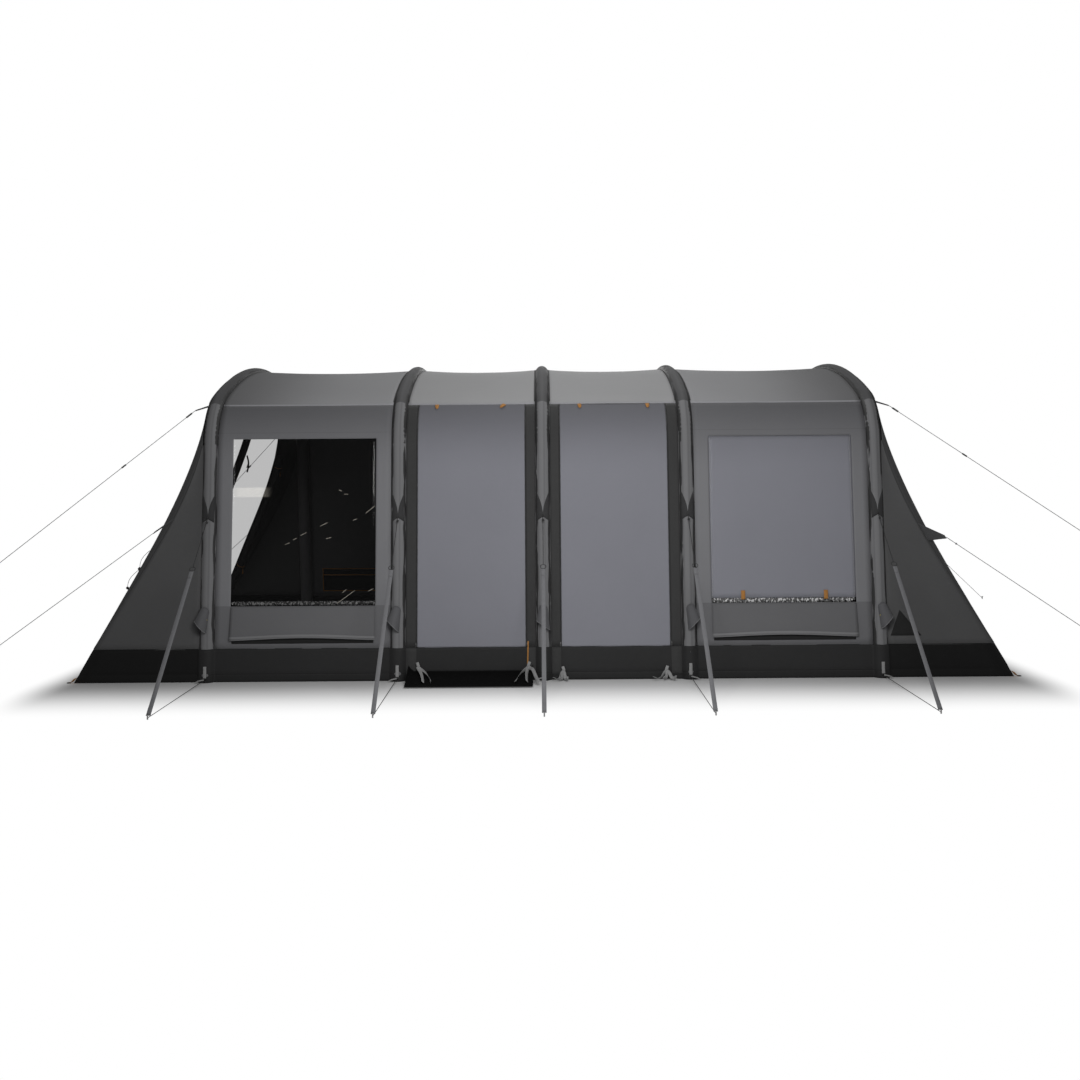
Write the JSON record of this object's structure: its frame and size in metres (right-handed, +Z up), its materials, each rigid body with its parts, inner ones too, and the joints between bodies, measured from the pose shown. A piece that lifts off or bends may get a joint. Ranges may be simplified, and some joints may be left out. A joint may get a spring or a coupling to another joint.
{
  "type": "inflatable tunnel tent",
  "caption": "Grey tunnel tent on inflatable arches, with curved roof, side windows, front doors, sloping ends, storm lines and pegged guy lines.",
  "frame": {"origin": "ground level, at the middle of the tent between its two ends and its two sides", "axes": "+X along the tent towards its closed end, +Y towards the back, +Z up; the doors and windows face -Y"},
  "size_m": [8.468, 5.298, 2.0997],
  "materials": {
    "air_beam": "matt",
    "sleeve": "matt woven polyester",
    "roof_outer": "matt woven polyester",
    "roof_inner": "matt woven polyester",
    "wall_cloth": "matt woven polyester",
    "window_pane": "clear glossy film",
    "blind": "satin woven polyester",
    "vent_flap": "matt woven polyester",
    "zip_band": "matt woven polyester",
    "door_cloth": "matt woven polyester",
    "gore_cloth": "matt woven polyester",
    "rolled_leaf": "matt woven polyester",
    "mud_wall": "satin coated cloth",
    "groundsheet": "satin coated cloth",
    "organiser": "mesh cloth",
    "patch": "matt reinforced cloth",
    "dark_cord": "braided cord",
    "ring_black": "satin black",
    "webbing": "woven webbing",
    "peg_steel": "bright wire",
    "black_plastic": "satin black",
    "valve": "satin yellow",
    "hood": "matt woven polyester",
    "guy_cord": "braided cord",
    "orange_web": "woven orange webbing",
    "zip_slider": "satin grey"
  },
  "bodies": {
    "tent": {"air_beam_1": "air_beam", "air_beam_2": "air_beam", "air_beam_3": "air_beam", "air_beam_4": "air_beam", "air_beam_5": "air_beam", "beam_sleeve_1": "sleeve", "beam_sleeve_2": "sleeve", "beam_sleeve_3": "sleeve", "beam_sleeve_4": "sleeve", "beam_sleeve_5": "sleeve", "roof_panel_1": "roof_outer", "roof_panel_2": "roof_inner", "roof_panel_3": "roof_inner", "roof_panel_4": "roof_outer", "window_wall_left": "wall_cloth", "window_wall_right": "wall_cloth", "back_wall": "wall_cloth", "window_panes": "window_pane", "window_blinds": "blind", "door_zip_bands": "zip_band", "gores_left": "gore_cloth", "gores_right": "gore_cloth", "end_wall_left": "gore_cloth", "end_wall_right": "gore_cloth", "end_door_rolls": "rolled_leaf", "mud_wall_front": "mud_wall", "mud_wall_back": "mud_wall", "mud_wall_ends": "mud_wall", "groundsheet": "groundsheet", "door_apron": "mud_wall", "organiser_pocket": "organiser", "anchor_patches": "patch", "storm_cords": "dark_cord", "storm_rings": "ring_black", "storm_webbing": "webbing", "storm_pegs": "peg_steel", "foot_tabs": "webbing", "foot_buckles": "black_plastic", "valves": "valve", "guy_lines": "guy_cord", "guy_pegs": "peg_steel", "guy_gussets": "patch", "corner_rings": "orange_web"},
    "vent_flap_left": {"vent_flap_left": "vent_flap"},
    "vent_flap_right": {"vent_flap_right": "vent_flap"},
    "door_left": {"door_left": "door_cloth"},
    "door_right": {"door_right": "door_cloth"},
    "valve_hood_1": {"valve_hood_1": "hood"},
    "valve_hood_2": {"valve_hood_2": "hood"},
    "valve_hood_3": {"valve_hood_3": "hood"},
    "valve_hood_4": {"valve_hood_4": "hood"},
    "valve_hood_5": {"valve_hood_5": "hood"},
    "guy_slider_1": {"guy_slider_1": "black_plastic"},
    "guy_slider_2": {"guy_slider_2": "black_plastic"},
    "guy_slider_3": {"guy_slider_3": "black_plastic"},
    "guy_slider_4": {"guy_slider_4": "black_plastic"},
    "zip_slider_1": {"zip_slider_1": "zip_slider"},
    "zip_slider_2": {"zip_slider_2": "zip_slider"},
    "zip_slider_3": {"zip_slider_3": "zip_slider"},
    "zip_slider_4": {"zip_slider_4": "zip_slider"}
  },
  "joints": [
    {"name": "door_left_lift", "type": "hinge", "parent": "tent", "child": "door_left", "pos_m": [-0.456, -1.3006, 1.74749], "axis": [-1, 0, 0], "range_deg": [0, 95]},
    {"name": "door_right_lift", "type": "hinge", "parent": "tent", "child": "door_right", "pos_m": [0.456, -1.3006, 1.74749], "axis": [-1, 0, 0], "range_deg": [0, 95]},
    {"name": "vent_flap_left_lift", "type": "hinge", "parent": "tent", "child": "vent_flap_left", "pos_m": [-1.5225, -1.52521, 0.46685], "axis": [-1, 0, 0], "range_deg": [0, 75]},
    {"name": "vent_flap_right_lift", "type": "hinge", "parent": "tent", "child": "vent_flap_right", "pos_m": [1.5225, -1.52521, 0.46685], "axis": [-1, 0, 0], "range_deg": [0, 75]},
    {"name": "valve_hood_1_lift", "type": "hinge", "parent": "tent", "child": "valve_hood_1", "pos_m": [-2.126, -1.55504, 0.47003], "axis": [-1, 0, 0], "range_deg": [0, 50]},
    {"name": "valve_hood_2_lift", "type": "hinge", "parent": "tent", "child": "valve_hood_2", "pos_m": [-0.92, -1.55504, 0.47003], "axis": [-1, 0, 0], "range_deg": [0, 50]},
    {"name": "valve_hood_3_lift", "type": "hinge", "parent": "tent", "child": "valve_hood_3", "pos_m": [0, -1.55504, 0.47003], "axis": [-1, 0, 0], "range_deg": [0, 50]},
    {"name": "valve_hood_4_lift", "type": "hinge", "parent": "tent", "child": "valve_hood_4", "pos_m": [0.92, -1.55504, 0.47003], "axis": [-1, 0, 0], "range_deg": [0, 50]},
    {"name": "valve_hood_5_lift", "type": "hinge", "parent": "tent", "child": "valve_hood_5", "pos_m": [2.126, -1.55504, 0.47003], "axis": [-1, 0, 0], "range_deg": [0, 50]},
    {"name": "zip_slider_1_run", "type": "slide", "parent": "tent", "child": "zip_slider_1", "axis": [0, 0.0958, 0.9954], "range_m": [0, 1.26]},
    {"name": "zip_slider_2_run", "type": "slide", "parent": "tent", "child": "zip_slider_2", "axis": [0, 0.0958, 0.9954], "range_m": [0, 1.26]},
    {"name": "zip_slider_3_run", "type": "slide", "parent": "tent", "child": "zip_slider_3", "axis": [0, 0.0958, 0.9954], "range_m": [0, 1.26]},
    {"name": "zip_slider_4_run", "type": "slide", "parent": "tent", "child": "zip_slider_4", "axis": [0, 0.0958, 0.9954], "range_m": [0, 1.26]},
    {"name": "guy_slider_1_run", "type": "slide", "parent": "tent", "child": "guy_slider_1", "axis": [-0.6786, -0.3815, -0.6277], "range_m": [-0.15, 0.3]},
    {"name": "guy_slider_2_run", "type": "slide", "parent": "tent", "child": "guy_slider_2", "axis": [0.7029, -0.4217, -0.5728], "range_m": [-0.15, 0.3]},
    {"name": "guy_slider_3_run", "type": "slide", "parent": "tent", "child": "guy_slider_3", "axis": [-0.6786, 0.3815, -0.6277], "range_m": [-0.15, 0.3]},
    {"name": "guy_slider_4_run", "type": "slide", "parent": "tent", "child": "guy_slider_4", "axis": [0.7029, 0.4217, -0.5728], "range_m": [-0.15, 0.3]}
  ]
}
